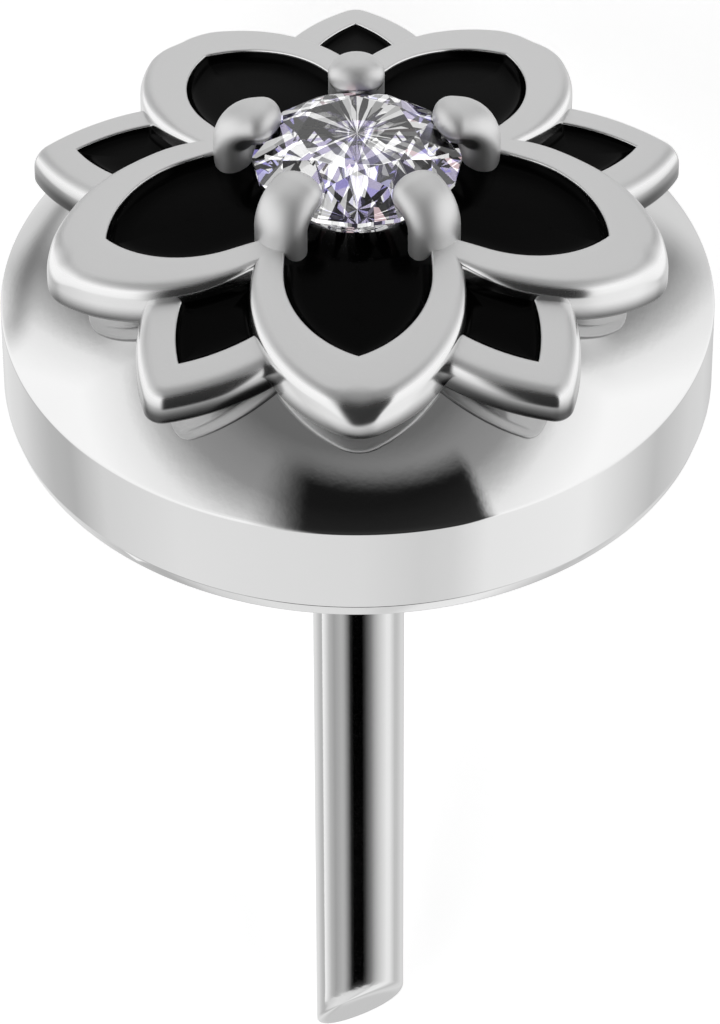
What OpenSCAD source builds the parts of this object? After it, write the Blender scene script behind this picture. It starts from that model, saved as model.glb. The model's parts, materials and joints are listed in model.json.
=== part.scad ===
// Push-in piercing top: a domed round disc on a plain pin, with a pierced ten-petal
// flower on the dome, black enamel in its openings and one round brilliant in five prongs.
// All sizes in millimetres. The part is drawn upright first, on its own axis with Z = 0
// at the disc's upper rim, and then laid down on the disc's lower edge and the pin's tip.

/* [Disc] */
// Diameter of the disc
disc_d = 4.5; // [4.3:0.1:5]
// Height of the disc's straight side band
band_h = 0.7; // [0.5:0.05:1]
// Width of the small chamfer round the band's lower edge, on which the piece lies
edge_w = 0.03; // [0.02:0.01:0.04]
// Height that the dome would reach at its centre, above the rim
dome_h = 0.98; // [0.94:0.01:1.04]
// Height of the flat land on top of the dome, where the flower sits
seat_z = 0.74; // [0.68:0.01:0.78]

/* [Pin] */
// Diameter of the pin
pin_d = 0.6; // [0.5:0.05:0.8]
// Length of the pin from the disc's underside to the middle of its cut end
pin_l = 5.8; // [4:0.01:8]
// How deep the pin's stub is set into the disc
pin_set = 0.45; // [0.3:0.05:0.5]
// Angle of the cut end, away from square
tip_cut = 56; // [0:1:60]
// Compass direction that the cut end faces
tip_turn = 292; // [270:1:315]

/* [Large petals] */
// Height of the petals' upper faces at the flower's centre, above the rim
crown_z = 1.065; // [1.04:0.005:1.09]
// Radius that the upper faces curve over
crown_r = 7.8; // [7:0.1:9]
// Thickness of a petal
petal_t = 0.32; // [0.2:0.01:0.34]
// Width of a large petal
petal_w = 1.33; // [1.28:0.01:1.38]
// Radius of a large petal's two side arcs
petal_arc = 0.98; // [0.94:0.01:1.02]
// Distance from the axis to a large petal's widest place
petal_mid = 1.13; // [1.1:0.01:1.16]
// Radius of a large petal's rounded point
petal_point = 0.34; // [0.25:0.01:0.4]
// Width of the opening in a large petal
hole_w = 0.9; // [0.86:0.01:0.94]
// Radius of the opening's two side arcs
hole_arc = 0.7; // [0.66:0.01:0.72]
// Distance from the axis to the opening's widest place
hole_mid = 0.97; // [0.94:0.01:1]

/* [Small petals] */
// Width of a small petal
small_w = 1.18; // [1.14:0.01:1.22]
// Radius of a small petal's two side arcs
small_arc = 1.35; // [1.3:0.01:1.4]
// Distance from the axis to a small petal's widest place
small_mid = 1.04; // [1.02:0.01:1.06]
// Radius of a small petal's rounded point
small_point = 0.14; // [0.08:0.01:0.18]
// Width of the metal around a small petal's opening
small_rim = 0.24; // [0.2:0.01:0.27]
// How far the small petals lie below the large ones
small_drop = 0.09; // [0.05:0.01:0.11]
// Thickness of a small petal
small_t = 0.34; // [0.28:0.01:0.36]

/* [Stone and prongs] */
// Diameter of the stone
stone_d = 1.3; // [1.25:0.01:1.32]
// Height of the girdle's lower edge, above the rim
girdle_z = 1.08; // [1.06:0.01:1.1]
// Thickness of the girdle
girdle_t = 0.03; // [0.02:0.005:0.04]
// Height of the crown, from the girdle to the table
stone_crown = 0.19; // [0.16:0.01:0.2]
// Depth of the pavilion, from the girdle to the point
stone_pavilion = 0.56; // [0.52:0.01:0.58]
// Width of the table as a share of the stone's diameter
table_share = 0.57; // [0.52:0.01:0.62]
// Width of a prong
prong_w = 0.36; // [0.3:0.01:0.38]
// Distance from the axis to the inner end of a prong's head
prong_in = 0.54; // [0.52:0.01:0.58]
// Distance from the axis to the outer side of a prong
prong_out = 0.97; // [0.94:0.01:1]
// Height of the prongs' flat heads, above the rim
prong_top = 1.305; // [1.28:0.005:1.34]

/* [Enamel] */
// How far the enamel in the large openings lies below the petals' faces
enamel_low = 0.1; // [0.04:0.01:0.12]
// How far the enamel in the small openings lies below the petals' faces
cell_low = 0.06; // [0.03:0.01:0.1]

/* [Hidden] */
$fn = 96;

petals = 5;
step = 360 / petals;
first_large = 270;  // compass direction of the first large petal
first_small = first_large + step / 2;
gap = 0.02;  // left between two pieces that sit on each other
over = 1;  // how far cutters run past what they cut
lap = 0.004;  // how far the disc that rounds a tip stands out over its side arcs
stub_step = 0.16;  // how much thinner the pin is where it is set into the disc
mouth = 0.04;  // depth of the wider step round the pin in the disc's underside
disc_turn = 90;  // the seam of the disc's round faces is undermost as it lies
foot_share = 0.5;  // radius of the flower's foot as a share of the disc's radius
small_reach = 0.1;  // how far the small petals' metal stays back from the large openings

disc_r = disc_d / 2;
edge_r = disc_r - edge_w;
pin_r = pin_d / 2;
stub_r = pin_r - stub_step;
stone_r = stone_d / 2;
table_r = stone_r * table_share;
table_z = girdle_z + girdle_t + stone_crown;
culet_z = girdle_z - stone_pavilion;
foot_r = disc_r * foot_share;
crown_c = crown_z - crown_r;

// The dome is a cap of a ball that passes through the disc's rim
dome_r = (disc_r * disc_r + dome_h * dome_h) / (2 * dome_h);
dome_c = dome_h - dome_r;

// Lying down: the slope of the axis at which the pin's tip and the chamfer are level
cut_x = tan(tip_cut) * cos(tip_turn);
cut_y = tan(tip_cut) * sin(tip_turn);
function tip_reach(slope) = pin_r * norm([1 - cut_y * slope, cut_x * slope]);
function lying_slope(slope, rounds) =
  rounds == 0 ? slope : lying_slope((edge_r - tip_reach(slope)) / pin_l, rounds - 1);
lean = atan(lying_slope(0, 8));
lift = edge_r * cos(lean) + band_h * sin(lean);
flower_end = prong_out * sin(lean) + prong_top * cos(lean);
pin_end = -(band_h + pin_l) * cos(lean)
  - pin_r * norm([sin(lean) + cut_y * cos(lean), cut_x * cos(lean)]);
middle = (flower_end + pin_end) / 2;

// Lays an upright piece down, flower to the front, with the floor at Z = 0
module lying() {
  translate([0, middle, lift])
    rotate([0, 0, 180])
      rotate([lean - 90, 0, 0])
        children();
}

// The pointed arch of a petal or an opening, its axis along X; grow moves both arcs out
module arch(w, arc, mid, grow = 0) {
  off = arc - w / 2;
  intersection() {
    translate([mid, -off]) circle(arc + grow);
    translate([mid, off]) circle(arc + grow);
  }
}

// The same arch with its tip rounded by a disc of radius point, which is larger than a
// tangent disc by lap so that it crosses the side arcs cleanly
module rounded_arch(w, arc, mid, point, grow = 0) {
  off = arc - w / 2;
  point_x = mid + sqrt(pow(arc - point, 2) - off * off);
  touch_x = mid + (point_x - mid) * (arc + grow) / (arc - point);
  intersection() {
    arch(w, arc, mid, grow);
    translate([-w, -w]) square([touch_x + w, 2 * w]);
  }
  translate([point_x, 0]) circle(point + lap + grow);
}

module around(first) {
  for (i = [0 : petals - 1])
    rotate(first + i * step)
      children();
}

module large_outline(grow = 0) {
  around(first_large) rounded_arch(petal_w, petal_arc, petal_mid, petal_point, grow);
  circle(prong_out);
}

// The five large openings, which run together under the stone
module large_openings(inset = 0) {
  around(first_large) {
    arch(hole_w, hole_arc, hole_mid, -inset);
    translate([0, inset - hole_w / 2]) square([hole_mid, hole_w - 2 * inset]);
  }
}

module small_opening(inset = 0) {
  arch(small_w - 2 * small_rim, small_arc - small_rim, small_mid, -inset);
}

module small_outline() {
  around(first_small) rounded_arch(small_w, small_arc, small_mid, small_point);
}

module prong_outline() {
  half = prong_w / 2;
  translate([prong_in + half, 0]) circle(half);
  translate([prong_out - half, 0]) circle(half);
  translate([prong_in + half, -half]) square([prong_out - prong_in - prong_w, prong_w]);
}

module ball(r, centre) {
  translate([0, 0, centre]) sphere(r);
}

// Raises an outline to the petals' curved faces, lowered by drop, with thickness t,
// and solid all the way down inside the radius foot
module curved_plate(drop, t, foot = 0) {
  difference() {
    intersection() {
      linear_extrude(height = crown_z + over) children();
      ball(crown_r - drop, crown_c);
    }
    difference() {
      ball(crown_r - drop - t, crown_c);
      if (foot > 0) cylinder(r = foot, h = crown_z);
    }
  }
}

// Everything that the disc's top fills, with the gap above it
module dome_room() {
  intersection() {
    ball(dome_r + gap, dome_c);
    translate([0, 0, -over]) cylinder(r = disc_r + over, h = seat_z + gap + over);
  }
}

// The stone's turned shape, grown by a clearance
module stone_room(grow) {
  side = stone_r + grow;
  rotate_extrude()
    polygon([
      [0, culet_z - grow], [side, girdle_z - grow], [side, girdle_z + girdle_t + grow],
      [table_r + grow, table_z + grow], [0, table_z + grow]
    ]);
}

module base_disc_upright() {
  high = band_h + seat_z;
  rotate(disc_turn)
    difference() {
      intersection() {
        translate([0, 0, -band_h]) cylinder(r = disc_r, h = high);
        translate([0, 0, -band_h]) cylinder(r1 = edge_r, r2 = edge_r + high * tan(lean), h = high);
        ball(dome_r, dome_c);
      }
      stone_room(gap);
      translate([0, 0, -band_h - over]) cylinder(r = stub_r + gap, h = pin_set + gap + over);
      translate([0, 0, -band_h - over]) cylinder(r = pin_r + gap, h = mouth + over);
    }
}

module pin_upright() {
  block = 4 * pin_d;
  difference() {
    union() {
      translate([0, 0, -band_h - pin_l - block]) cylinder(r = pin_r, h = pin_l + block - gap);
      translate([0, 0, -band_h - pin_l]) cylinder(r = stub_r, h = pin_l + pin_set);
    }
    translate([0, 0, -band_h - pin_l])
      rotate([0, -tip_cut, tip_turn])
        translate([-block, -block, -2 * block]) cube(2 * block);
  }
}

module flower_upright() {
  difference() {
    union() {
      curved_plate(0, petal_t, foot_r) difference() {
        large_outline();
        large_openings();
      }
      curved_plate(small_drop, small_t) difference() {
        small_outline();
        around(first_small) small_opening();
        large_openings(-small_reach);
      }
      around(first_small) linear_extrude(height = prong_top) prong_outline();
    }
    dome_room();
    stone_room(gap);
  }
}

module centre_enamel_upright() {
  difference() {
    curved_plate(enamel_low, petal_t - enamel_low, foot_r - gap) difference() {
      large_openings(gap);
      around(first_small) prong_room();
    }
    dome_room();
    stone_room(gap);
  }
}

// A prong's outline with the gap around it
module prong_room() {
  half = prong_w / 2;
  translate([prong_in + half, 0]) circle(half + gap);
  translate([prong_in + half, -half - gap]) square([prong_out - prong_in, prong_w + 2 * gap]);
}

module cell_enamel_upright(number) {
  difference() {
    curved_plate(small_drop + cell_low, small_t - cell_low) difference() {
      rotate(first_small + (number - 1) * step) small_opening(gap);
      large_outline(gap);
    }
    dome_room();
  }
}

// Round brilliant: eight table corners, sixteen girdle corners, and eight corners
// halfway up the crown and low on the pavilion, where the kite-shaped facets meet
module stone_upright() {
  n = 8;
  turn = 360 / n;
  half = turn / 2;
  crown_mid_r = (table_r * cos(half) + stone_r) / 2;
  crown_mid_z = table_z
    - stone_crown * (crown_mid_r * cos(half) - table_r) / (stone_r - table_r);
  low_mid_r = 0.23 * stone_r;
  low_mid_z = culet_z + stone_pavilion * low_mid_r * cos(half) / stone_r;
  points = concat(
    [for (k = [0 : n - 1]) ring_point(table_r, k * turn, table_z)],
    [for (k = [0 : n - 1]) ring_point(crown_mid_r, k * turn + half, crown_mid_z)],
    [for (k = [0 : 2 * n - 1]) ring_point(stone_r, k * half, girdle_z + girdle_t)],
    [for (k = [0 : 2 * n - 1]) ring_point(stone_r, k * half, girdle_z)],
    [for (k = [0 : n - 1]) ring_point(low_mid_r, k * turn + half, low_mid_z)],
    [[0, 0, culet_z]]
  );
  crown_mid = n;
  upper = 2 * n;
  lower = 4 * n;
  low_mid = 6 * n;
  culet = 7 * n;
  faces = concat(
    [[for (k = [n - 1 : -1 : 0]) k]],
    [for (k = [0 : n - 1]) [k, (k + 1) % n, crown_mid + k]],
    [for (k = [0 : n - 1]) [k, crown_mid + k, upper + 2 * k, crown_mid + (k + n - 1) % n]],
    [for (k = [0 : n - 1]) [crown_mid + k, upper + 2 * k + 1, upper + 2 * k]],
    [for (k = [0 : n - 1]) [crown_mid + k, upper + (2 * k + 2) % (2 * n), upper + 2 * k + 1]],
    [for (k = [0 : 2 * n - 1])
      [upper + k, upper + (k + 1) % (2 * n), lower + (k + 1) % (2 * n), lower + k]],
    [for (k = [0 : n - 1]) [lower + 2 * k, lower + 2 * k + 1, low_mid + k]],
    [for (k = [0 : n - 1]) [lower + 2 * k + 1, lower + (2 * k + 2) % (2 * n), low_mid + k]],
    [for (k = [0 : n - 1]) [lower + 2 * k, low_mid + k, culet, low_mid + (k + n - 1) % n]]
  );
  polyhedron(points, faces);
}

function ring_point(r, angle, z) = [r * cos(angle), r * sin(angle), z];

module base_disc() {
  color("gainsboro") lying() base_disc_upright();
}

module pin() {
  color("silver") lying() pin_upright();
}

module flower() {
  color("lightgray") lying() flower_upright();
}

module centre_enamel() {
  color("black") lying() centre_enamel_upright();
}

module cell_enamel(number) {
  color("black") lying() cell_enamel_upright(number);
}

module stone() {
  color("lavender") lying() stone_upright();
}

base_disc();
pin();
flower();
centre_enamel();
for (i = [1 : petals])
  cell_enamel(i);
stone();
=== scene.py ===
import json
import math

import bmesh
import bpy
import numpy as np
from mathutils import Matrix, Vector


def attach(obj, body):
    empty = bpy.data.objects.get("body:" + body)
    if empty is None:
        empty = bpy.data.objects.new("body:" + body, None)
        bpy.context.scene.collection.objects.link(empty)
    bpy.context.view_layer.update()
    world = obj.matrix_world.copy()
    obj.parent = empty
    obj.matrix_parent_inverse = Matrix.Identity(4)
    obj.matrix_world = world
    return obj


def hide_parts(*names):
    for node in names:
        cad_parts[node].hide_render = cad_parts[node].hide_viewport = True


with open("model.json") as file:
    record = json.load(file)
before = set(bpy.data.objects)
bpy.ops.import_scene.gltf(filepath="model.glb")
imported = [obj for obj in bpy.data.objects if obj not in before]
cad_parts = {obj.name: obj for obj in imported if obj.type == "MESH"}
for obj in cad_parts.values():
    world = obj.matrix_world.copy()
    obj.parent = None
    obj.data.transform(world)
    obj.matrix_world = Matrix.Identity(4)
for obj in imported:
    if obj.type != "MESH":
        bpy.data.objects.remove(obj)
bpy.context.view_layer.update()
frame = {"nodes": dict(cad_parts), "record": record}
print("frame loaded:", sorted(frame["nodes"]))

# Sizes are millimetres in the piece's own upright frame: Z is the axis, Z = 0 is the
# disc's upper rim, and the first large petal points to -Y, towards the camera.
mm = 0.001
clearance = 0.02  # between two pieces that sit on each other
petalCount = 5
petalStep = 2 * math.pi / petalCount
firstLarge = math.radians(270)
firstSmall = firstLarge + petalStep / 2

disc = dict(
    radius=2.25, band=0.7, dome=0.98, land=0.74, domeSteps=48,
    rimEdge=0.03, baseEdge=0.03, baseChamfer=0.03, landEdge=0.01, hub=0.002,
    socketRadius=0.16, socketDepth=0.47, mouthRadius=0.32, mouthDepth=0.04, holeEdge=0.01,
    steps=256,
)
crown = dict(height=1.065, radius=7.8)  # the petals' upper faces lie on this ball


# Placing: the pin's mount gives the axis, the underside's how far along it the disc starts
def uprightToFrame():
    mounts = {m["name"]: m for m in frame["record"]["mounts"]}
    down = Vector(mounts["pin"]["axis"]).normalized()
    onAxis = Vector(mounts["pin"]["pos_m"])
    base = onAxis + down * (Vector(mounts["underside"]["pos_m"]) - onAxis).dot(down)
    across = Vector((-1, 0, 0))
    turn = Matrix((across, (-down).cross(across), -down)).transposed()
    rim = base - down * disc["band"] * mm
    return turn, rim


turn, rimCentre = uprightToFrame()
toFrame = Matrix.Translation(rimCentre) @ turn.to_4x4() @ Matrix.Scale(mm, 4)


def domeHeight(r):
    ball = (disc["radius"] ** 2 + disc["dome"] ** 2) / (2 * disc["dome"])
    return np.minimum(np.sqrt(np.maximum(ball**2 - r**2, 0)) + disc["dome"] - ball, disc["land"])


def crownHeight(xy):
    return np.sqrt(crown["radius"] ** 2 - (xy**2).sum(-1)) + crown["height"] - crown["radius"]


# Shader maths: a socket that adds its Math nodes when it is used in an expression
class Wire:
    def __init__(self, maker, socket):
        self.maker = maker
        self.socket = socket

    def maths(self, operation, *values):
        return self.maker.maths(operation, *values)

    def __add__(self, other):
        return self.maths("ADD", self, other)

    def __radd__(self, other):
        return self.maths("ADD", other, self)

    def __sub__(self, other):
        return self.maths("SUBTRACT", self, other)

    def __rsub__(self, other):
        return self.maths("SUBTRACT", other, self)

    def __mul__(self, other):
        return self.maths("MULTIPLY", self, other)

    def __rmul__(self, other):
        return self.maths("MULTIPLY", other, self)

    def __truediv__(self, other):
        return self.maths("DIVIDE", self, other)

    def __rtruediv__(self, other):
        return self.maths("DIVIDE", other, self)

    def __neg__(self):
        return self.maths("MULTIPLY", self, -1)

    def __abs__(self):
        return self.maths("ABSOLUTE", self)

    def __gt__(self, other):
        return self.maths("GREATER_THAN", self, other)

    def __lt__(self, other):
        return self.maths("LESS_THAN", self, other)


class NodeMaker:
    def __init__(self, tree):
        self.tree = tree
        tree.nodes.clear()

    def node(self, kind, settings=None, values=None, output=0):
        made = self.tree.nodes.new(kind)
        for name, value in (settings or {}).items():
            if name == "stops":
                self.setStops(made.color_ramp, value)
            else:
                setattr(made, name, value)
        for name, value in (values or {}).items():
            if isinstance(value, Wire):
                self.tree.links.new(value.socket, made.inputs[name])
            else:
                made.inputs[name].default_value = value
        return Wire(self, made.outputs[output] if len(made.outputs) else None)

    def maths(self, operation, *values):
        return self.node("ShaderNodeMath", {"operation": operation}, dict(enumerate(values)))

    def setStops(self, ramp, stops):
        while len(ramp.elements) < len(stops):
            ramp.elements.new(1)
        for element, (position, level) in zip(ramp.elements, stops):
            element.position = position
            element.color = grey(level)

    def ease(self, value, low, high, toLow=0.0, toHigh=1.0):
        return self.node(
            "ShaderNodeMapRange", {"interpolation_type": "SMOOTHSTEP"},
            {"Value": value, "From Min": low, "From Max": high, "To Min": toLow, "To Max": toHigh},
        )

    def rise(self, value, at, soft):
        return self.ease(value, at - soft, at + soft)

    def fall(self, value, at, soft):
        return self.ease(value, at - soft, at + soft, 1, 0)

    def mix(self, share, first, second):
        return self.node(
            "ShaderNodeMix", {"data_type": "RGBA"}, {0: share, 6: first, 7: second}, output=2
        )

    def dot(self, vector, direction):
        return self.node(
            "ShaderNodeVectorMath", {"operation": "DOT_PRODUCT"},
            {0: vector, 1: direction}, output="Value",
        )

    def noise(self, vector, scale, detail=3.0):
        return self.node(
            "ShaderNodeTexNoise", None, {"Vector": vector, "Scale": scale, "Detail": detail}
        )

    def bump(self, height, strength, distance):
        return self.node(
            "ShaderNodeBump", None,
            {"Strength": strength, "Distance": distance, "Height": height},
        )


def grey(level):
    return (level, level, level, 1)


def newMaterial(name):
    material = bpy.data.materials.new(name)
    material.use_nodes = True
    return material, NodeMaker(material.node_tree)


def finishMaterial(maker, values):
    shader = maker.node("ShaderNodeBsdfPrincipled", None, values)
    maker.node("ShaderNodeOutputMaterial", None, {"Surface": shader})


def faceUp(maker):
    # how far a place on the metal faces along the piece's axis, from -1 to 1
    normal = maker.node("ShaderNodeNewGeometry", output="Normal")
    return maker.dot(normal, tuple(turn.col[2]))


def uprightPlace(maker, place, axis):
    # one coordinate in the piece's upright frame, in millimetres
    return maker.dot(place, tuple(turn.col[axis] / mm)) - rimCentre.dot(turn.col[axis]) / mm


# Finishes. A pair is where a change starts and where it is whole, and a bump's pair is its
# strength and its distance in metres.
polish = dict(
    smear=900, smearEdge=(0.3, 0.7), darker=0.95, rougher=1.6,
    hairlines=16000, hairBump=(0.02, 0.00001),
)


def polishedSteel(name, level, roughness):
    # a mirror with faint smears and hairlines
    look = polish
    material, maker = newMaterial(name)
    place = maker.node("ShaderNodeTexCoord", output="Object")
    smear = maker.noise(place, look["smear"], detail=4)
    hairlines = maker.noise(place, look["hairlines"], detail=2)
    finishMaterial(maker, {
        "Base Color": maker.mix(smear, grey(level * look["darker"]), grey(level)),
        "Metallic": 1.0,
        "Roughness": maker.ease(smear, *look["smearEdge"], roughness, roughness * look["rougher"]),
        "Normal": maker.bump(hairlines, *look["hairBump"]),
    })
    return material


# Foot and heads are depths under the petals' upper faces, and posts is a distance from the
# axis. The other pairs are of how far up the metal faces, from -1 to 1.
satinFinish = dict(
    flat=(0.7, 0.97), faceLevel=0.82, edgeLevel=0.86,
    # painted shade: the walls darken towards their foot
    foot=(0.13, 0.27), paintedFootShade=0.1,
    # painted shade on faces that lean down: darkest on the sloping sides, lighter straight
    # underneath
    under=(-0.97, -0.88), paintedUnderShade=0.75, paintedSideShade=0.25, upperSide=(-0.3, -0.08),
    edge=(0.5, 0.8), edgeRough=0.14, faceRough=0.42, below=(-0.3, -0.1), belowRough=0.25,
    heads=(-0.03, -0.07), posts=(1.0, 0.93), prongRough=0.5,
    cloud=1500, cloudRough=0.06, grain=45000, grainBump=(0.12, 0.000004),
)


def satinSteelWithPaintedShade():
    # satin faces and prongs, edges rubbed bright, painted shade that darkens the walls towards
    # their foot, and painted shade on faces that lean down
    look = satinFinish
    material, maker = newMaterial("satinSteelWithPaintedShade")
    place = maker.node("ShaderNodeTexCoord", output="Object")
    up = faceUp(maker)
    x, y, z = (uprightPlace(maker, place, axis) for axis in range(3))
    ball = maker.maths("SQRT", crown["radius"] ** 2 - x * x - y * y)
    depth = ball + (crown["height"] - crown["radius"]) - z
    flat = maker.ease(up, *look["flat"])
    colour = maker.mix(flat, grey(look["edgeLevel"]), grey(look["faceLevel"]))
    # painted shade, darker down the walls towards their foot
    colour = maker.mix(maker.ease(depth, *look["foot"]), colour, grey(look["paintedFootShade"]))
    # painted shade on faces that lean down, darkest on the sloping sides
    lower = maker.mix(
        maker.ease(up, *look["under"]), grey(look["paintedUnderShade"]), grey(look["paintedSideShade"])
    )
    colour = maker.mix(maker.ease(up, *look["upperSide"]), lower, colour)
    rough = maker.ease(up, *look["edge"], look["edgeRough"], look["faceRough"])
    rough = rough + maker.ease(up, *look["below"], look["belowRough"], 0)
    fromAxis = maker.maths("SQRT", x * x + y * y)
    posts = maker.ease(fromAxis, *look["posts"]) * (1 - flat)
    prongs = maker.maths("MAXIMUM", maker.ease(depth, *look["heads"]), posts)
    rough = maker.maths("MAXIMUM", rough, prongs * look["prongRough"])
    cloud = maker.noise(place, look["cloud"], detail=4)
    grain = maker.noise(place, look["grain"], detail=2)
    finishMaterial(maker, {
        "Base Color": colour,
        "Metallic": 1.0,
        "Roughness": rough + cloud * look["cloudRough"],
        "Normal": maker.bump(grain * flat, *look["grainBump"]),
    })
    return material


enamelFinish = dict(
    dark=0.0005, light=0.0015, smooth=0.12, rough=0.2, shine=0.03,
    ripple=1800, rippleEdge=(0.3, 0.7), rippleBump=(0.15, 0.00002),
)


def blackEnamel():
    look = enamelFinish
    material, maker = newMaterial("blackEnamel")
    place = maker.node("ShaderNodeTexCoord", output="Object")
    ripple = maker.noise(place, look["ripple"], detail=2)
    finishMaterial(maker, {
        "Base Color": maker.mix(ripple, grey(look["dark"]), grey(look["light"])),
        "Roughness": maker.ease(ripple, *look["rippleEdge"], look["smooth"], look["rough"]),
        "Specular IOR Level": look["shine"],
        "Normal": maker.bump(ripple, *look["rippleBump"]),
    })
    return material


stoneFinish = dict(
    # glow is the strength of the painted glints; violet and pink are painted tints of fire
    ior=2.15, wedges=8, rings=4, glow=0.55, flash=(0.25, 0.75),
    violetFrom=0.6, violet=(0.3, 0.25, 0.5, 1), pinkFrom=0.94, pink=(0.95, 0.7, 0.74, 1),
)


def stoneWithPaintedGlints():
    # painted flashes: glowing glints in wedges round the axis, cut where one facet meets the next,
    # some of them painted violet or pink for the stone's fire
    look = stoneFinish
    white = grey(1)
    material, maker = newMaterial("stoneWithPaintedGlints")
    place = maker.node("ShaderNodeTexCoord", output="Object")
    x, y = (uprightPlace(maker, place, axis) for axis in range(2))
    radius = maker.maths("SQRT", x * x + y * y)
    angle = maker.maths("ARCTAN2", x, -y)
    normal = maker.node("ShaderNodeNewGeometry", output="Normal")
    facet = maker.dot(normal, (3, 5, 7))  # another number on each facet
    wedges = maker.node(
        "ShaderNodeCombineXYZ", None,
        {"X": angle * look["wedges"], "Y": radius * look["rings"], "Z": facet},
    )
    cells = maker.node("ShaderNodeTexVoronoi", None, {"Vector": wedges, "Scale": 1.0}, "Color")
    flash = maker.dot(cells, (1, 0, 0))
    hue = maker.dot(cells, (0, 1, 0))
    paintedPinkCells = hue > look["pinkFrom"]
    paintedVioletCells = (hue > look["violetFrom"]) * (1 - paintedPinkCells)
    outside = 1 - maker.node("ShaderNodeNewGeometry", output="Backfacing")
    # painted glints that glow on the outer facets
    paintedGlints = maker.ease(flash, *look["flash"]) * outside * (1 - paintedVioletCells)
    finishMaterial(maker, {
        # painted violet fire in the stone's colour, and painted white or pink glints
        "Base Color": maker.mix(paintedVioletCells * outside, white, look["violet"]),
        "Roughness": 0.0, "IOR": look["ior"], "Transmission Weight": 1.0,
        "Emission Color": maker.mix(paintedGlints, grey(0), maker.mix(paintedPinkCells, white, look["pink"])),
        "Emission Strength": look["glow"],
    })
    return material


# Meshes
sameSpot = 1e-6  # points nearer to each other than this, in millimetres, are one


def gridFaces(rows, columns, rowsClosed, columnsClosed):
    faces = []
    for i in range(rows if rowsClosed else rows - 1):
        for j in range(columns if columnsClosed else columns - 1):
            nextRow = (i + 1) % rows
            nextColumn = (j + 1) % columns
            faces.append((
                i * columns + j, i * columns + nextColumn,
                nextRow * columns + nextColumn, nextRow * columns + j,
            ))
    return faces


def loft(rings):
    # closed rings stacked into one closed form, with a flat end on each side
    count = len(rings[0])
    faces = gridFaces(len(rings), count, False, True)
    last = (len(rings) - 1) * count
    faces.append(tuple(reversed(range(count))))
    faces.append(tuple(range(last, last + count)))
    return np.concatenate(rings), faces


def joined(parts):
    points = []
    faces = []
    start = 0
    for partPoints, partFaces in parts:
        points.append(partPoints)
        faces += [tuple(start + i for i in face) for face in partFaces]
        start += len(partPoints)
    return np.concatenate(points), faces


def quarterTurn(steps):
    # the angles across a rounded edge
    return np.linspace(0, math.pi / 2, steps + 1)


def turned(points, angle):
    c, s = math.cos(angle), math.sin(angle)
    made = np.array(points, float)
    made[:, 0] = points[:, 0] * c - points[:, 1] * s
    made[:, 1] = points[:, 0] * s + points[:, 1] * c
    return made


def addPiece(name, shape, material, nodes, sharpAngle=35):
    points, faces = shape
    mesh = bpy.data.meshes.new(name)
    mesh.from_pydata([tuple(p) for p in points], [], faces)
    shell = bmesh.new()
    shell.from_mesh(mesh)
    bmesh.ops.remove_doubles(shell, verts=shell.verts, dist=sameSpot)
    bmesh.ops.recalc_face_normals(shell, faces=shell.faces)
    shell.to_mesh(mesh)
    shell.free()
    mesh.transform(toFrame)
    mesh.materials.append(material)
    mesh.shade_smooth()
    mesh.set_sharp_from_angle(angle=math.radians(sharpAngle))
    piece = bpy.data.objects.new(name, mesh)
    bpy.context.scene.collection.objects.link(piece)
    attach(piece, "root")
    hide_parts(*nodes)
    print("made", name, "with", len(mesh.polygons), "faces")
    return piece


# The disc and the pin are turned shapes
def rounded(corners, steps=8):
    # corners are radius, height and rounding; the first and last stay sharp
    made = [corners[0][:2]]
    for before, corner, after in zip(corners, corners[1:], corners[2:]):
        here = Vector(corner[:2])
        toBefore = (Vector(before[:2]) - here).normalized()
        toAfter = (Vector(after[:2]) - here).normalized()
        if corner[2] == 0:
            made.append(tuple(here))
            continue
        half = toBefore.angle(toAfter) / 2
        centre = here + (toBefore + toAfter).normalized() * corner[2] / math.sin(half)
        first = here + toBefore * corner[2] / math.tan(half) - centre
        last = here + toAfter * corner[2] / math.tan(half) - centre
        for i in range(steps + 1):
            made.append(tuple(centre + first.lerp(last, i / steps).normalized() * corner[2]))
    made.append(corners[-1][:2])
    return made


def lathe(profile, steps):
    angles = np.arange(steps) * 2 * math.pi / steps
    rings = [
        np.stack([r * np.cos(angles), r * np.sin(angles), np.full(steps, float(z))], 1)
        for r, z in profile
    ]
    return loft(rings)


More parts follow.
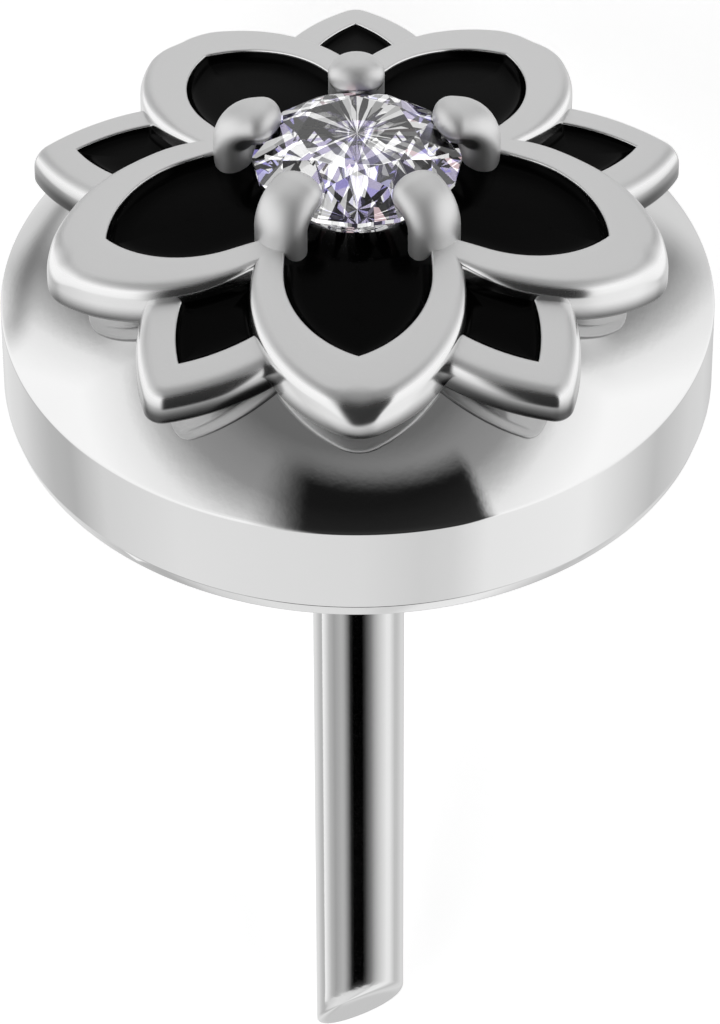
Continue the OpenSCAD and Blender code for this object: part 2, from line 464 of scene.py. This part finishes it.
def discShape():
    ball = (disc["radius"] ** 2 + disc["dome"] ** 2) / (2 * disc["dome"])
    centre = disc["dome"] - ball
    landRadius = math.sqrt(ball**2 - (disc["land"] - centre) ** 2)
    start = math.asin(landRadius / ball)
    end = math.asin(disc["radius"] / ball)
    arcs = np.linspace(start, end, disc["domeSteps"] + 1)[1:-1]
    dome = [(ball * math.sin(a), ball * math.cos(a) + centre, 0) for a in arcs]
    culet = stone["girdle"] - stone["pavilion"]
    wellRadius = stone["radius"] * (disc["land"] - culet) / stone["pavilion"]
    wellBottom = culet - clearance
    lean = math.asin(turn.col[2].z)  # the chamfer lies flat on the floor
    chamferTop = disc["baseChamfer"] / math.tan(lean)
    corners = [
        (disc["hub"], wellBottom, 0),
        (wellRadius + clearance, disc["land"], disc["holeEdge"]),
        (landRadius, disc["land"], disc["landEdge"]),
        *dome,
        (disc["radius"], 0, disc["rimEdge"]),
        (disc["radius"], chamferTop - disc["band"], disc["baseEdge"]),
        (disc["radius"] - disc["baseChamfer"], -disc["band"], disc["baseEdge"]),
        (disc["mouthRadius"], -disc["band"], disc["holeEdge"]),
        (disc["mouthRadius"], disc["mouthDepth"] - disc["band"], 0),
        (disc["socketRadius"], disc["mouthDepth"] - disc["band"], 0),
        (disc["socketRadius"], disc["socketDepth"] - disc["band"], 0),
        (disc["hub"], disc["socketDepth"] - disc["band"], 0),
    ]
    return lathe(rounded(corners), disc["steps"])


pin = dict(
    radius=0.3, length=5.8, stubRadius=0.14, stubDepth=0.45, stubEdge=0.02,
    cutAngle=56, cutTurn=292, cutEdge=0.075, cutSteps=12, cutRings=(0.7, 0.4, 0.1),
    shoulderEdge=0.03, shoulderSteps=6, steps=96, wallSteps=30,
)


def pinShape():
    angles = np.arange(pin["steps"]) * 2 * math.pi / pin["steps"]
    slope = math.tan(math.radians(pin["cutAngle"]))
    slopeX = slope * math.cos(math.radians(pin["cutTurn"]))
    slopeY = slope * math.sin(math.radians(pin["cutTurn"]))
    bottom = -disc["band"] - pin["length"]
    top = -disc["band"] - clearance

    def ring(r, height=None, above=0.0):
        x = r * np.cos(angles)
        y = r * np.sin(angles)
        z = bottom + slopeX * x + slopeY * y + above if height is None else np.full(len(x), height)
        return np.stack([x, y, z], 1)

    stub = pin["stubRadius"]
    edge = pin["cutEdge"]
    shoulder = pin["shoulderEdge"]
    stubTop = pin["stubDepth"] - disc["band"]
    rings = [ring(stub - pin["stubEdge"], stubTop), ring(stub, stubTop - pin["stubEdge"])]
    rings.append(ring(stub, top))
    for bend in quarterTurn(pin["shoulderSteps"]):
        rings.append(ring(
            pin["radius"] - shoulder * (1 - math.sin(bend)), top - shoulder * (1 - math.cos(bend))
        ))
    for share in np.linspace(0, 1, pin["wallSteps"] + 1)[1:-1]:
        wall = ring(pin["radius"], above=edge)
        wall[:, 2] = top - shoulder + (wall[:, 2] - top + shoulder) * share
        rings.append(wall)
    for bend in quarterTurn(pin["cutSteps"]):
        rings.append(ring(
            pin["radius"] - edge * (1 - math.cos(bend)), above=edge * (1 - math.sin(bend))
        ))
    for share in pin["cutRings"]:
        rings.append(ring((pin["radius"] - edge) * share))
    return loft(rings)


# Outlines: arcs and lines, sampled evenly, each as points and outward normals
def line(start, end, normal):
    start, end = np.array(start, float), np.array(end, float)
    length = np.linalg.norm(end - start)
    return length, lambda t: (start + (end - start) * t[:, None], np.tile(normal, (len(t), 1)))


def arc(centre, radius, start, end):
    def at(t):
        angle = start + (end - start) * t
        out = np.stack([np.cos(angle), np.sin(angle)], 1)
        return np.array(centre) + radius * out, out

    return radius * abs(end - start), at


def sampled(pieces, steps):
    lengths = np.array([length for length, _ in pieces])
    ends = np.concatenate([[0], np.cumsum(lengths)])
    places = np.linspace(0, ends[-1], steps + 1)
    points = np.zeros((steps + 1, 2))
    normals = np.zeros((steps + 1, 2))
    slack = 1e-9  # for the rounding of sums
    for i, (length, at) in enumerate(pieces):
        inside = (places >= ends[i] - slack) & (places <= ends[i + 1] + slack)
        points[inside], normals[inside] = at(np.clip((places[inside] - ends[i]) / length, 0, 1))
    return points, normals


def mitred(normal, along):
    # the step along a line of symmetry that moves an outline out by one
    return np.array(along) / np.dot(normal, along)


def tipArcs(petal, start):
    # a petal's side arc from the angle start, and the smaller arc round its tip
    off = petal["arc"] - petal["width"] / 2
    pointX = petal["mid"] + math.sqrt((petal["arc"] - petal["point"]) ** 2 - off**2)
    touch = math.atan2(off, pointX - petal["mid"])
    return [
        arc((petal["mid"], -off), petal["arc"], start, touch),
        arc((pointX, 0), petal["point"], touch, 0),
    ]


largePetal = dict(
    width=1.33, arc=0.98, mid=1.1, point=0.3, thick=0.31, drop=0,
    holeWidth=0.9, holeArc=0.7, holeMid=0.97, holeEdge=0.02,
    valleyEdge=0.05, outerEdge=0.09, tipEdge=0.17, tipFrom=0.8, side=0.24, underEdge=0.04,
    undercut=0.06, gap=clearance, valleyShare=0.3, steps=60,
)


def largeOuterHalf():
    # from the valley between two petals to the tip
    p = largePetal
    off = p["arc"] - p["width"] / 2
    ray = np.array([math.cos(petalStep / 2), math.sin(petalStep / 2)])
    centre = np.array([p["mid"], -off])
    along = centre @ ray
    valley = ray * (along + math.sqrt(along**2 - centre @ centre + p["arc"] ** 2))
    start = math.atan2(valley[1] + off, valley[0] - p["mid"])
    points, normals = sampled(tipArcs(p, start), p["steps"])
    normals[0] = mitred(normals[0], ray)
    return points, normals


def largeHoleHalf():
    # from the end of the divider between two openings to the opening's tip
    p = largePetal
    half = p["holeWidth"] / 2
    off = p["holeArc"] - half
    ray = np.array([math.cos(petalStep / 2), math.sin(petalStep / 2)])
    tip = math.asin(off / p["holeArc"])
    points, normals = sampled([
        line(ray * half / ray[1], (p["holeMid"], half), (0, 1)),
        arc((p["holeMid"], -off), p["holeArc"], math.pi / 2, tip),
    ], p["steps"])
    normals[0] = mitred(normals[0], ray)
    normals[-1] = mitred(normals[-1], (1, 0))
    return points, normals


def bothSides(half):
    # a half outline that ends at the tip becomes a whole one, from -Y to +Y
    mirror = half.copy()
    mirror[:, 1] *= -1
    return np.concatenate([mirror, half[-2::-1]])


def allRound(half):
    # one loop round the flower: each petal's first point is its valley at -Y
    whole = bothSides(half)[:-1]
    return np.concatenate([turned(whole, firstLarge + i * petalStep) for i in range(petalCount)])


petalMesh = dict(smallSteps=4, edgeSteps=9, faceLoops=(0.25, 0.5, 0.75))


def petalLoops(p, outerLine, holeLine, edge):
    # half loops of x, y and depth: up the opening's wall, over the face, down the side and under
    outer, outward = outerLine
    hole, metalward = holeLine
    loops = []

    def add(xy, depth):
        loops.append(np.column_stack([xy, np.broadcast_to(depth, len(xy))]))

    def fromHole(inset, depth):
        add(hole + metalward * inset, depth)

    def fromEdge(inset, depth):
        add(outer - outward * np.broadcast_to(inset, len(outer))[:, None], depth)

    fromHole(0, p["thick"])
    for bend in quarterTurn(petalMesh["smallSteps"]):
        fromHole(p["holeEdge"] * (1 - math.cos(bend)), p["holeEdge"] * (1 - math.sin(bend)))
    faceStart = hole + metalward * p["holeEdge"]
    faceEnd = outer - outward * edge[:, None]
    for share in petalMesh["faceLoops"]:
        add(faceStart + (faceEnd - faceStart) * share, 0.0)
    for bend in quarterTurn(petalMesh["edgeSteps"]):
        fromEdge(edge * (1 - math.sin(bend)), edge * (1 - math.cos(bend)))
    under = p["underEdge"]
    for bend in quarterTurn(petalMesh["smallSteps"]):
        fromEdge(under * (1 - math.cos(bend)), p["side"] + under * math.sin(bend))
    fromEdge(under + p["undercut"], p["side"] + under)
    fromEdge(under + p["undercut"], p["thick"])
    return loops


def plateShape(p, loops, closed):
    columns = []
    for loop in loops:
        xy = loop[:, :2]
        z = crownHeight(xy) - p["drop"] - loop[:, 2]
        z = np.maximum(z, domeHeight(np.hypot(xy[:, 0], xy[:, 1])) + p["gap"])
        columns.append(np.column_stack([xy, z]))
    grid = np.stack(columns, 1)
    rows, across = grid.shape[:2]
    faces = gridFaces(rows, across, closed, True)
    if not closed:
        faces.append(tuple(reversed(range(across))))
        faces.append(tuple(range((rows - 1) * across, rows * across)))
    return grid.reshape(-1, 3), faces


def smoothStep(share):
    share = np.clip(share, 0, 1)
    return share**2 * (3 - 2 * share)


def largePetals():
    p = largePetal
    share = np.linspace(0, 1, p["steps"] + 1)
    opening = smoothStep(share / p["valleyShare"])
    tipward = smoothStep((share - p["tipFrom"]) / (1 - p["tipFrom"]))
    edge = p["valleyEdge"] + (p["outerEdge"] - p["valleyEdge"]) * opening
    edge = edge + (p["tipEdge"] - p["outerEdge"]) * tipward
    loops = petalLoops(p, largeOuterHalf(), largeHoleHalf(), edge)
    return plateShape(p, [allRound(loop) for loop in loops], True)


smallPetal = dict(
    width=1.2, arc=1.36, mid=1.04, point=0.14, thick=0.27, drop=0.11,
    rim=0.25, holeEdge=0.02, outerEdge=0.1, side=0.19, underEdge=0.03, undercut=0.06, reach=0.1,
    gap=1.5 * clearance, steps=48, searchSteps=399,
)


def leavesOpenings(points, reach):
    # where points of a small petal, its axis along X, are clear of the large openings
    p = largePetal
    local = turned(points, -petalStep / 2)
    off = p["holeArc"] - p["holeWidth"] / 2
    far = np.hypot(local[:, 0] - p["holeMid"], np.abs(local[:, 1]) + off) - p["holeArc"]
    beside = np.abs(local[:, 1]) - p["holeWidth"] / 2
    return np.where(local[:, 0] > p["holeMid"], far, beside) > reach


def clearStart(centre, radius, tip, reach):
    # the arc's angle, nearest its base, from which it stays clear of the large openings
    angles = np.linspace(math.pi / 2, tip, smallPetal["searchSteps"] + 1)
    out = np.stack([np.cos(angles), np.sin(angles)], 1)
    clear = leavesOpenings(np.array(centre) + radius * out, reach)
    blocked = np.nonzero(~clear)[0]
    return angles[blocked[-1] + 1] if len(blocked) else angles[0]


def smallHalves():
    p = smallPetal
    off = p["arc"] - p["width"] / 2
    centre = (p["mid"], -off)
    holeRadius = p["arc"] - p["rim"]
    tip = math.asin(off / holeRadius)
    outer = sampled(tipArcs(p, clearStart(centre, p["arc"], tip, p["reach"])), p["steps"])
    start = clearStart(centre, holeRadius, tip, p["reach"])
    hole = sampled([arc(centre, holeRadius, start, tip)], p["steps"])
    hole[1][-1] = mitred(hole[1][-1], (1, 0))
    return outer, hole


def smallPetals():
    p = smallPetal
    edge = np.full(p["steps"] + 1, p["outerEdge"])
    loops = petalLoops(p, *smallHalves(), edge)
    points, faces = plateShape(p, [bothSides(loop) for loop in loops], False)
    return [(turned(points, firstSmall + i * petalStep), faces) for i in range(petalCount)]


prong = dict(
    axis=0.8, foot=0.8, bendHeight=1.07, bendRadius=0.17, bendAngle=72, straight=0.05, cap=0.13,
    halfThick=0.13, halfWidth=0.177, steps=40, postSteps=5, bendSteps=13, capSteps=11,
)


def clearOfStone(points):
    # lifts or pushes out the points that are inside the stone, which cuts the prong's seat
    reach = stone["radius"] + clearance
    girdleTop = stone["girdle"] + stone["girdleThick"]
    crownSlope = stone["crown"] / (stone["radius"] * (1 - stone["table"]))
    r = np.hypot(points[:, 0], points[:, 1])
    beside = (r < reach) & (points[:, 2] < girdleTop)
    points[beside, :2] *= (reach / r[beside])[:, None]
    crownTop = girdleTop + (reach - r) * crownSlope + clearance / 2
    over = (r < reach) & ~beside
    points[over, 2] = np.maximum(points[over, 2], crownTop[over])
    return points


def prongShape():
    # a wire of oval section that rises beside the stone and bends in over its edge
    angles = np.arange(prong["steps"]) * 2 * math.pi / prong["steps"]
    outward = np.cos(angles) * prong["halfThick"]
    beside = np.sin(angles) * prong["halfWidth"]
    rings = []

    def add(r, height, lean, size=1.0):
        x = r + outward * size * math.cos(lean)
        z = height + outward * size * math.sin(lean)
        rings.append(clearOfStone(np.stack([x, beside * size, z], 1)))

    for height in np.linspace(prong["foot"], prong["bendHeight"], prong["postSteps"] + 1)[:-1]:
        add(prong["axis"], height, 0)
    bend = math.radians(prong["bendAngle"])
    middle = prong["axis"] - prong["bendRadius"]
    for lean in np.linspace(0, bend, prong["bendSteps"] + 1):
        add(
            middle + prong["bendRadius"] * math.cos(lean),
            prong["bendHeight"] + prong["bendRadius"] * math.sin(lean), lean,
        )
    endRadius = middle + prong["bendRadius"] * math.cos(bend)
    endHeight = prong["bendHeight"] + prong["bendRadius"] * math.sin(bend)
    for turnOver in quarterTurn(prong["capSteps"])[:-1]:
        along = prong["straight"] + prong["cap"] * math.sin(turnOver)
        size = math.cos(turnOver)
        add(endRadius - along * math.sin(bend), endHeight + along * math.cos(bend), bend, size)
    return loft(rings)


def flowerShape():
    points, faces = prongShape()
    prongs = [(turned(points, firstSmall + i * petalStep), faces) for i in range(petalCount)]
    return joined([largePetals(), *smallPetals(), *prongs])


# The enamel climbs the walls a little, as a liquid does
enamel = dict(
    low=0.1, climb=0.075, reach=0.04, depth=0.2, gap=0.004,
    fromWall=(0.0, 0.012, 0.026, 0.045, 0.07, 0.1, 0.14), inward=(0.25, 0.5, 0.75, 1.0), foot=0.6,
    cellLow=0.06, cellClimb=0.045, cellMiddle=1.42, cellReach=0.35, cellFoot=0.04,
    cellShares=(1.0, 0.97, 0.94, 0.89, 0.83, 0.75, 0.5, 0.25, 0.05),
)


def enamelRise(distance, climb):
    return climb * np.exp(-distance / enamel["reach"])


def overDome(xy, z):
    return np.maximum(z, domeHeight(np.hypot(xy[:, 0], xy[:, 1])) + clearance)


def centreEnamelShape():
    hole, normals = largeHoleHalf()
    low = enamel["low"]
    columns = []

    def add(xy, z):
        columns.append(np.column_stack([xy, overDome(xy, z)]))

    culet = stone["girdle"] - stone["pavilion"]
    wellSlope = stone["radius"] / stone["pavilion"]
    wellRadius = (crown["height"] - low - culet) * wellSlope + clearance
    wall = allRound(hole - normals * enamel["gap"])
    add(wall, crownHeight(wall) - low - enamel["depth"])
    for distance in enamel["fromWall"]:
        xy = allRound(hole - normals * (enamel["gap"] + distance))
        add(xy, crownHeight(xy) - low + enamelRise(distance, enamel["climb"]))
    ring = xy / np.hypot(xy[:, 0], xy[:, 1])[:, None] * wellRadius
    for share in enamel["inward"]:
        inward = xy + (ring - xy) * share
        add(inward, crownHeight(inward) - low)
    add(ring * enamel["foot"], disc["land"])
    grid = np.stack(columns, 1)
    return grid.reshape(-1, 3), gridFaces(grid.shape[0], grid.shape[1], True, True)


def insideLarge(point, gap):
    p = largePetal
    x, y = turned(np.array([point]), -petalStep / 2)[0]
    off = p["arc"] - p["width"] / 2
    return math.hypot(x - p["mid"], abs(y) + off) < p["arc"] + gap


def insideSmallHole(point, gap):
    p = smallPetal
    off = p["arc"] - p["width"] / 2
    return math.hypot(point[0] - p["mid"], abs(point[1]) + off) < p["arc"] - p["rim"] - gap


def cellOutline():
    # a small opening's edge, cut off by the large petals on both sides
    gap = enamel["gap"]
    valleySide, _ = largeOuterHalf()
    valleySide = turned(valleySide * np.array([1, -1]), petalStep / 2)
    _, (hole, _) = smallHalves()
    crossing = next(i for i, point in enumerate(hole) if not insideLarge(point, gap))
    side = [p for p in valleySide if insideSmallHole(p, gap) and p[1] > sameSpot]
    half = np.array(side + list(hole[crossing:]))
    start = valleySide[0] + np.array([gap, 0])
    return np.concatenate([[start], half, (half * np.array([1, -1]))[-2::-1]])


def cellEnamelShape():
    outline = cellOutline()
    centre = np.array([enamel["cellMiddle"], 0.0])

    def ring(share, fall):
        xy = centre + (outline - centre) * share
        return xy, crownHeight(xy) - smallPetal["drop"] - fall

    foot, z = ring(1.0, smallPetal["thick"] - enamel["cellFoot"])
    rings = [np.column_stack([foot, overDome(foot, z)])]
    for share in enamel["cellShares"]:
        rise = enamelRise((1 - share) * enamel["cellReach"], enamel["cellClimb"])
        rings.append(np.column_stack(ring(share, enamel["cellLow"] - rise)))
    return loft(rings)


stone = dict(
    radius=0.65, girdle=1.08, girdleThick=0.03, crown=0.19, pavilion=0.56,
    table=0.57, lowerReach=0.23, sides=8,
)


def stoneShape():
    n = stone["sides"]
    turnStep = 2 * math.pi / n
    tableRadius = stone["radius"] * stone["table"]
    girdleTop = stone["girdle"] + stone["girdleThick"]
    tableHeight = girdleTop + stone["crown"]
    culet = stone["girdle"] - stone["pavilion"]
    kite = (tableRadius * math.cos(turnStep / 2) + stone["radius"]) / 2
    slope = stone["crown"] / (stone["radius"] - tableRadius)
    kiteFall = slope * (kite * math.cos(turnStep / 2) - tableRadius)
    lower = stone["radius"] * stone["lowerReach"]
    lowerHeight = culet + stone["pavilion"] * lower * math.cos(turnStep / 2) / stone["radius"]

    def ring(count, radius, height, shift=0.0):
        return [
            (radius * math.cos(2 * math.pi * (k + shift) / count),
             radius * math.sin(2 * math.pi * (k + shift) / count), height)
            for k in range(count)
        ]

    points = ring(n, tableRadius, tableHeight)
    points += ring(n, kite, tableHeight - kiteFall, 0.5)
    points += ring(2 * n, stone["radius"], girdleTop)
    points += ring(2 * n, stone["radius"], stone["girdle"])
    points += ring(n, lower, lowerHeight, 0.5)
    points.append((0, 0, culet))
    kites, upper, under, lowers, tip = n, 2 * n, 4 * n, 6 * n, 7 * n
    faces = [tuple(range(n))]
    for k in range(n):
        before = (k + n - 1) % n
        after = (2 * k + 2) % (2 * n)
        faces += [
            (k, (k + 1) % n, kites + k),
            (k, kites + k, upper + 2 * k, kites + before),
            (kites + k, upper + 2 * k + 1, upper + 2 * k),
            (kites + k, upper + after, upper + 2 * k + 1),
            (under + 2 * k, under + 2 * k + 1, lowers + k),
            (under + 2 * k + 1, under + after, lowers + k),
            (under + 2 * k, lowers + k, tip, lowers + before),
        ]
    for k in range(2 * n):
        after = (k + 1) % (2 * n)
        faces.append((upper + k, upper + after, under + after, under + k))
    return np.array(points), faces


mirrorSteel = polishedSteel("mirrorSteel", level=0.86, roughness=0.045)
pinSteel = polishedSteel("pinSteel", level=0.86, roughness=0.05)
satin = satinSteelWithPaintedShade()
black = blackEnamel()
clear = stoneWithPaintedGlints()
print("finishes ready")

addPiece("disc", discShape(), mirrorSteel, ["base_disc"], sharpAngle=25)
addPiece("pinRod", pinShape(), pinSteel, ["pin"], sharpAngle=40)
addPiece("flowerCasting", flowerShape(), satin, ["flower"])
pool = centreEnamelShape()
addPiece("centreEnamel", pool, black, ["centre_enamel"], sharpAngle=60)
cellPoints, cellFaces = cellEnamelShape()
for i in range(petalCount):
    cell = (turned(cellPoints, firstSmall + i * petalStep), cellFaces)
    node = f"cell_enamel_{i + 1}"
    addPiece(f"cellEnamel{i + 1}", cell, black, [node], sharpAngle=60)
addPiece("brilliant", stoneShape(), clear, ["stone"], sharpAngle=1)


# Floor, studio and camera
paleFloor = dict(half=0.6, level=0.9, rough=0.9, glow=0.6)  # half its side, in metres


def addFloor():
    mesh = bpy.data.meshes.new("floor")
    half = paleFloor["half"]
    corners = [(-half, -half, 0), (half, -half, 0), (half, half, 0), (-half, half, 0)]
    mesh.from_pydata(corners, [], [(0, 1, 2, 3)])
    floor = bpy.data.objects.new("floor", mesh)
    bpy.context.scene.collection.objects.link(floor)
    material, maker = newMaterial("paleFloor")
    finishMaterial(maker, {
        "Base Color": grey(paleFloor["level"]), "Roughness": paleFloor["rough"],
        "Specular IOR Level": 0.0,
        "Emission Color": grey(1), "Emission Strength": paleFloor["glow"],
    })
    mesh.materials.append(material)
    floor.visible_glossy = False  # the metal mirrors the studio alone
    floor.visible_transmission = False


# The studio's light by direction in the piece's upright frame, in degrees: elevation above
# the disc's plane, and azimuth from the side that faces the camera. byElevation and below
# list an angle and its light. The other pairs are an edge's place and half its blur.
studio = dict(
    strength=1.1,
    byElevation=(
        (-25, 0.86), (0, 0.94), (30, 1.0), (40, 0.84), (45, 0.5), (50, 0.28), (57, 0.24),
        (64, 0.14), (72, 0.15), (80, 0.6), (90, 0.95),
    ),
    below=(  # round the piece, under its disc
        (-180, 0.62), (-160, 0.75), (-140, 0.7), (-118, 0.5), (-106, 0.46), (-90, 0.68),
        (-60, 0.78), (-20, 0.76), (0, 0.74), (20, 0.66), (30, 0.69), (42, 0.84), (78, 0.88),
        (90, 0.76), (112, 0.54), (135, 0.67), (150, 0.68), (172, 0.53), (180, 0.62),
    ),
    belowEdge=(-20, 6), tilt=0.03,
    sideFrom=100, sideLeft=4, sideFall=1.15,  # past these azimuths the bright band sinks
    backEdge=(146, 7), backLight=0.67, shoulderEdge=(106, 8), shoulderLow=(34, 5),
    streakAt=-150, streakHeight=-5, streakSlope=0.5, streakWidth=3.5, streakDepth=0.5,
    streakLeft=(-163, 5), streakRight=(-127, 5),
    screenLow=(-30, 8), screenHigh=(57, 4), screenLeft=(-21, 11), screenRight=(36, 3),
    screenSpread=0.16, screenTilt=0.05, screenDepth=0.97,
)
pinCard = dict(
    radius=9, top=-7.9, bottom=-16, halfAngle=106, steps=72, strength=1.12,
    byAzimuth=(
        (-106, 0.95), (-98, 0.84), (-90, 0.68), (-80, 0.48), (-65, 0.36), (-45, 0.46),
        (-38, 0.4), (-30, 0.22), (-21, 0.02), (-14, 0.0), (8, 0.0), (14, 0.03), (20, 0.09),
        (30, 0.2), (40, 0.4), (50, 0.56), (60, 0.68), (75, 0.84), (84, 0.83), (98, 0.62),
        (106, 0.5),
    ),
)
gemSky = dict(
    radius=30, rows=12, columns=48, lowest=-8, highest=89,
    scale=0.17, patchEdge=(0.42, 0.5), levels=(0.06, 1.4), darkest=0.01,
    tintScale=0.102, tintEdge=(0.52, 0.6), tint=(0.6, 0.58, 1, 1),
)


def upright(maker, vector, axis):
    return maker.dot(vector, tuple(turn.col[axis]))


def bandedLight(maker, elevation, azimuth):
    # bands by elevation that sink towards the back, an even back, and a ring under the disc
    side = abs(azimuth)
    beyond = abs(azimuth + studio["sideLeft"]) - studio["sideFrom"]
    sunk = maker.maths("MAXIMUM", beyond, 0.0) * studio["sideFall"]
    leaning = elevation - azimuth * studio["tilt"] + sunk
    stops = [((e + 90) / 180, level) for e, level in studio["byElevation"]]
    light = maker.node("ShaderNodeValToRGB", {"stops": stops}, {"Fac": (leaning + 90) / 180})
    shoulder = maker.rise(side, *studio["shoulderEdge"])
    shoulder = shoulder * maker.rise(elevation, *studio["shoulderLow"])
    back = maker.maths("MAXIMUM", maker.rise(side, *studio["backEdge"]), shoulder)
    light = maker.mix(back, light, grey(studio["backLight"]))
    stops = [(a / 360 + 0.5, level) for a, level in studio["below"]]
    below = maker.node("ShaderNodeValToRGB", {"stops": stops}, {"Fac": azimuth / 360 + 0.5})
    return maker.mix(maker.rise(elevation, *studio["belowEdge"]), below, light)


def darkScreen(maker, elevation, azimuth):
    # a dark screen in front of the piece, wider towards its foot
    spread = elevation * studio["screenSpread"]
    across = maker.rise(azimuth + spread, *studio["screenLeft"])
    across = across * maker.fall(azimuth - spread, *studio["screenRight"])
    high = maker.rise(elevation, *studio["screenLow"])
    high = high * maker.fall(elevation + azimuth * studio["screenTilt"], *studio["screenHigh"])
    return across * high * studio["screenDepth"]


def darkStreak(maker, elevation, azimuth):
    # a slanting streak behind the piece, to its left
    ridge = studio["streakHeight"] + (azimuth - studio["streakAt"]) * studio["streakSlope"]
    off = (elevation - ridge) / studio["streakWidth"]
    streak = maker.maths("EXPONENT", -(off * off)) * maker.rise(azimuth, *studio["streakLeft"])
    return streak * maker.fall(azimuth, *studio["streakRight"]) * studio["streakDepth"]


def addStudio():
    world = bpy.data.worlds.new("studio")
    bpy.context.scene.world = world
    world.use_nodes = True
    maker = NodeMaker(world.node_tree)
    direction = maker.node("ShaderNodeTexCoord", output="Generated")
    x, y, z = (upright(maker, direction, axis) for axis in range(3))
    elevation = maker.maths("DEGREES", maker.maths("ARCSINE", z))
    azimuth = maker.maths("DEGREES", maker.maths("ARCTAN2", x, -y))
    left = 1 - darkScreen(maker, elevation, azimuth)
    left = left * (1 - darkStreak(maker, elevation, azimuth))
    background = maker.node("ShaderNodeBackground", None, {
        "Color": bandedLight(maker, elevation, azimuth), "Strength": left * studio["strength"],
    })
    maker.node("ShaderNodeOutputWorld", None, {"Surface": background})


def stageCard(name, shape, light, strength, **seenBy):
    # a glowing card that only some kinds of ray meet
    mesh = bpy.data.meshes.new(name)
    points, faces = shape
    mesh.from_pydata([tuple(p) for p in points], [], faces)
    card = bpy.data.objects.new(name, mesh)
    bpy.context.scene.collection.objects.link(card)
    card.matrix_world = toFrame
    for kind in ("camera", "diffuse", "glossy", "transmission", "shadow"):
        setattr(card, "visible_" + kind, seenBy.get(kind, False))
    material, maker = newMaterial(name)
    place = maker.node("ShaderNodeTexCoord", output="Object")
    finishMaterial(maker, {
        "Base Color": grey(0), "Roughness": 1.0, "Specular IOR Level": 0.0,
        "Emission Color": light(maker, place), "Emission Strength": strength,
    })
    mesh.materials.append(material)


def ringPoints(radius, angles, height):
    return np.stack(
        [radius * np.sin(angles), -radius * np.cos(angles), np.full(len(angles), float(height))], 1
    )


def addPinCard():
    # a strip round the pin, seen only as its reflection, that gives it a black streak
    half = pinCard["halfAngle"]
    angles = np.radians(np.linspace(-half, half, pinCard["steps"]))
    rims = [ringPoints(pinCard["radius"], angles, pinCard[end]) for end in ("top", "bottom")]

    def light(maker, place):
        across = maker.dot(place, (1, 0, 0))
        towards = maker.dot(place, (0, -1, 0))
        azimuth = maker.maths("DEGREES", maker.maths("ARCTAN2", across, towards))
        stops = [(a / (2 * half) + 0.5, level) for a, level in pinCard["byAzimuth"]]
        share = azimuth / (2 * half) + 0.5
        return maker.node("ShaderNodeValToRGB", {"stops": stops}, {"Fac": share})

    shape = (np.concatenate(rims), gridFaces(2, len(angles), False, False))
    stageCard("pinCard", shape, light, pinCard["strength"], glossy=True)


def addGemSky():
    # a patchy dome of light over the flower that only the light inside the stone meets
    radius = gemSky["radius"]
    angles = np.arange(gemSky["columns"]) * 2 * math.pi / gemSky["columns"]
    heights = np.radians(np.linspace(gemSky["lowest"], gemSky["highest"], gemSky["rows"]))
    rims = [ringPoints(radius * math.cos(h), angles, radius * math.sin(h)) for h in heights]

    def light(maker, place):
        patches = maker.noise(place, gemSky["scale"], detail=2)
        level = maker.ease(patches, *gemSky["patchEdge"], *gemSky["levels"])
        tinted = maker.ease(maker.noise(place, gemSky["tintScale"], detail=1), *gemSky["tintEdge"])
        bright = maker.mix(tinted, grey(1), gemSky["tint"])
        return maker.mix(level, grey(gemSky["darkest"]), bright)

    shape = (np.concatenate(rims), gridFaces(len(heights), len(angles), False, True))
    stageCard("gemSky", shape, light, 1.0, transmission=True)


view = dict(
    distance=18, elevation=42, azimuth=-0.2, roll=-0.19,  # distance in disc radii
    right=0.007, up=-0.609, pixels=6424, height=1024, sensor=36, near=0.001, far=10,
)


def addCamera():
    a, e, roll = (math.radians(view[key]) for key in ("azimuth", "elevation", "roll"))
    back = Vector((math.sin(a) * math.cos(e), -math.cos(a) * math.cos(e), math.sin(e)))
    level = Vector((math.cos(a), math.sin(a), 0))
    over = back.cross(level)
    right = level * math.cos(roll) + over * math.sin(roll)
    up = over * math.cos(roll) - level * math.sin(roll)
    place = back * view["distance"] + right * view["right"] + up * view["up"]
    camera = bpy.data.objects.new("camera", bpy.data.cameras.new("camera"))
    bpy.context.scene.collection.objects.link(camera)
    axes = Matrix((turn @ right, turn @ up, turn @ back)).transposed()
    camera.matrix_world = Matrix.Translation(toFrame @ (place * disc["radius"])) @ axes.to_4x4()
    camera.data.sensor_width = view["sensor"]
    camera.data.lens = view["pixels"] / view["height"] * view["sensor"]
    camera.data.clip_start = view["near"]
    camera.data.clip_end = view["far"]
    bpy.context.scene.camera = camera


addFloor()
addStudio()
addPinCard()
addGemSky()
addCamera()
bpy.context.scene.view_settings.view_transform = "Standard"
print("studio ready")
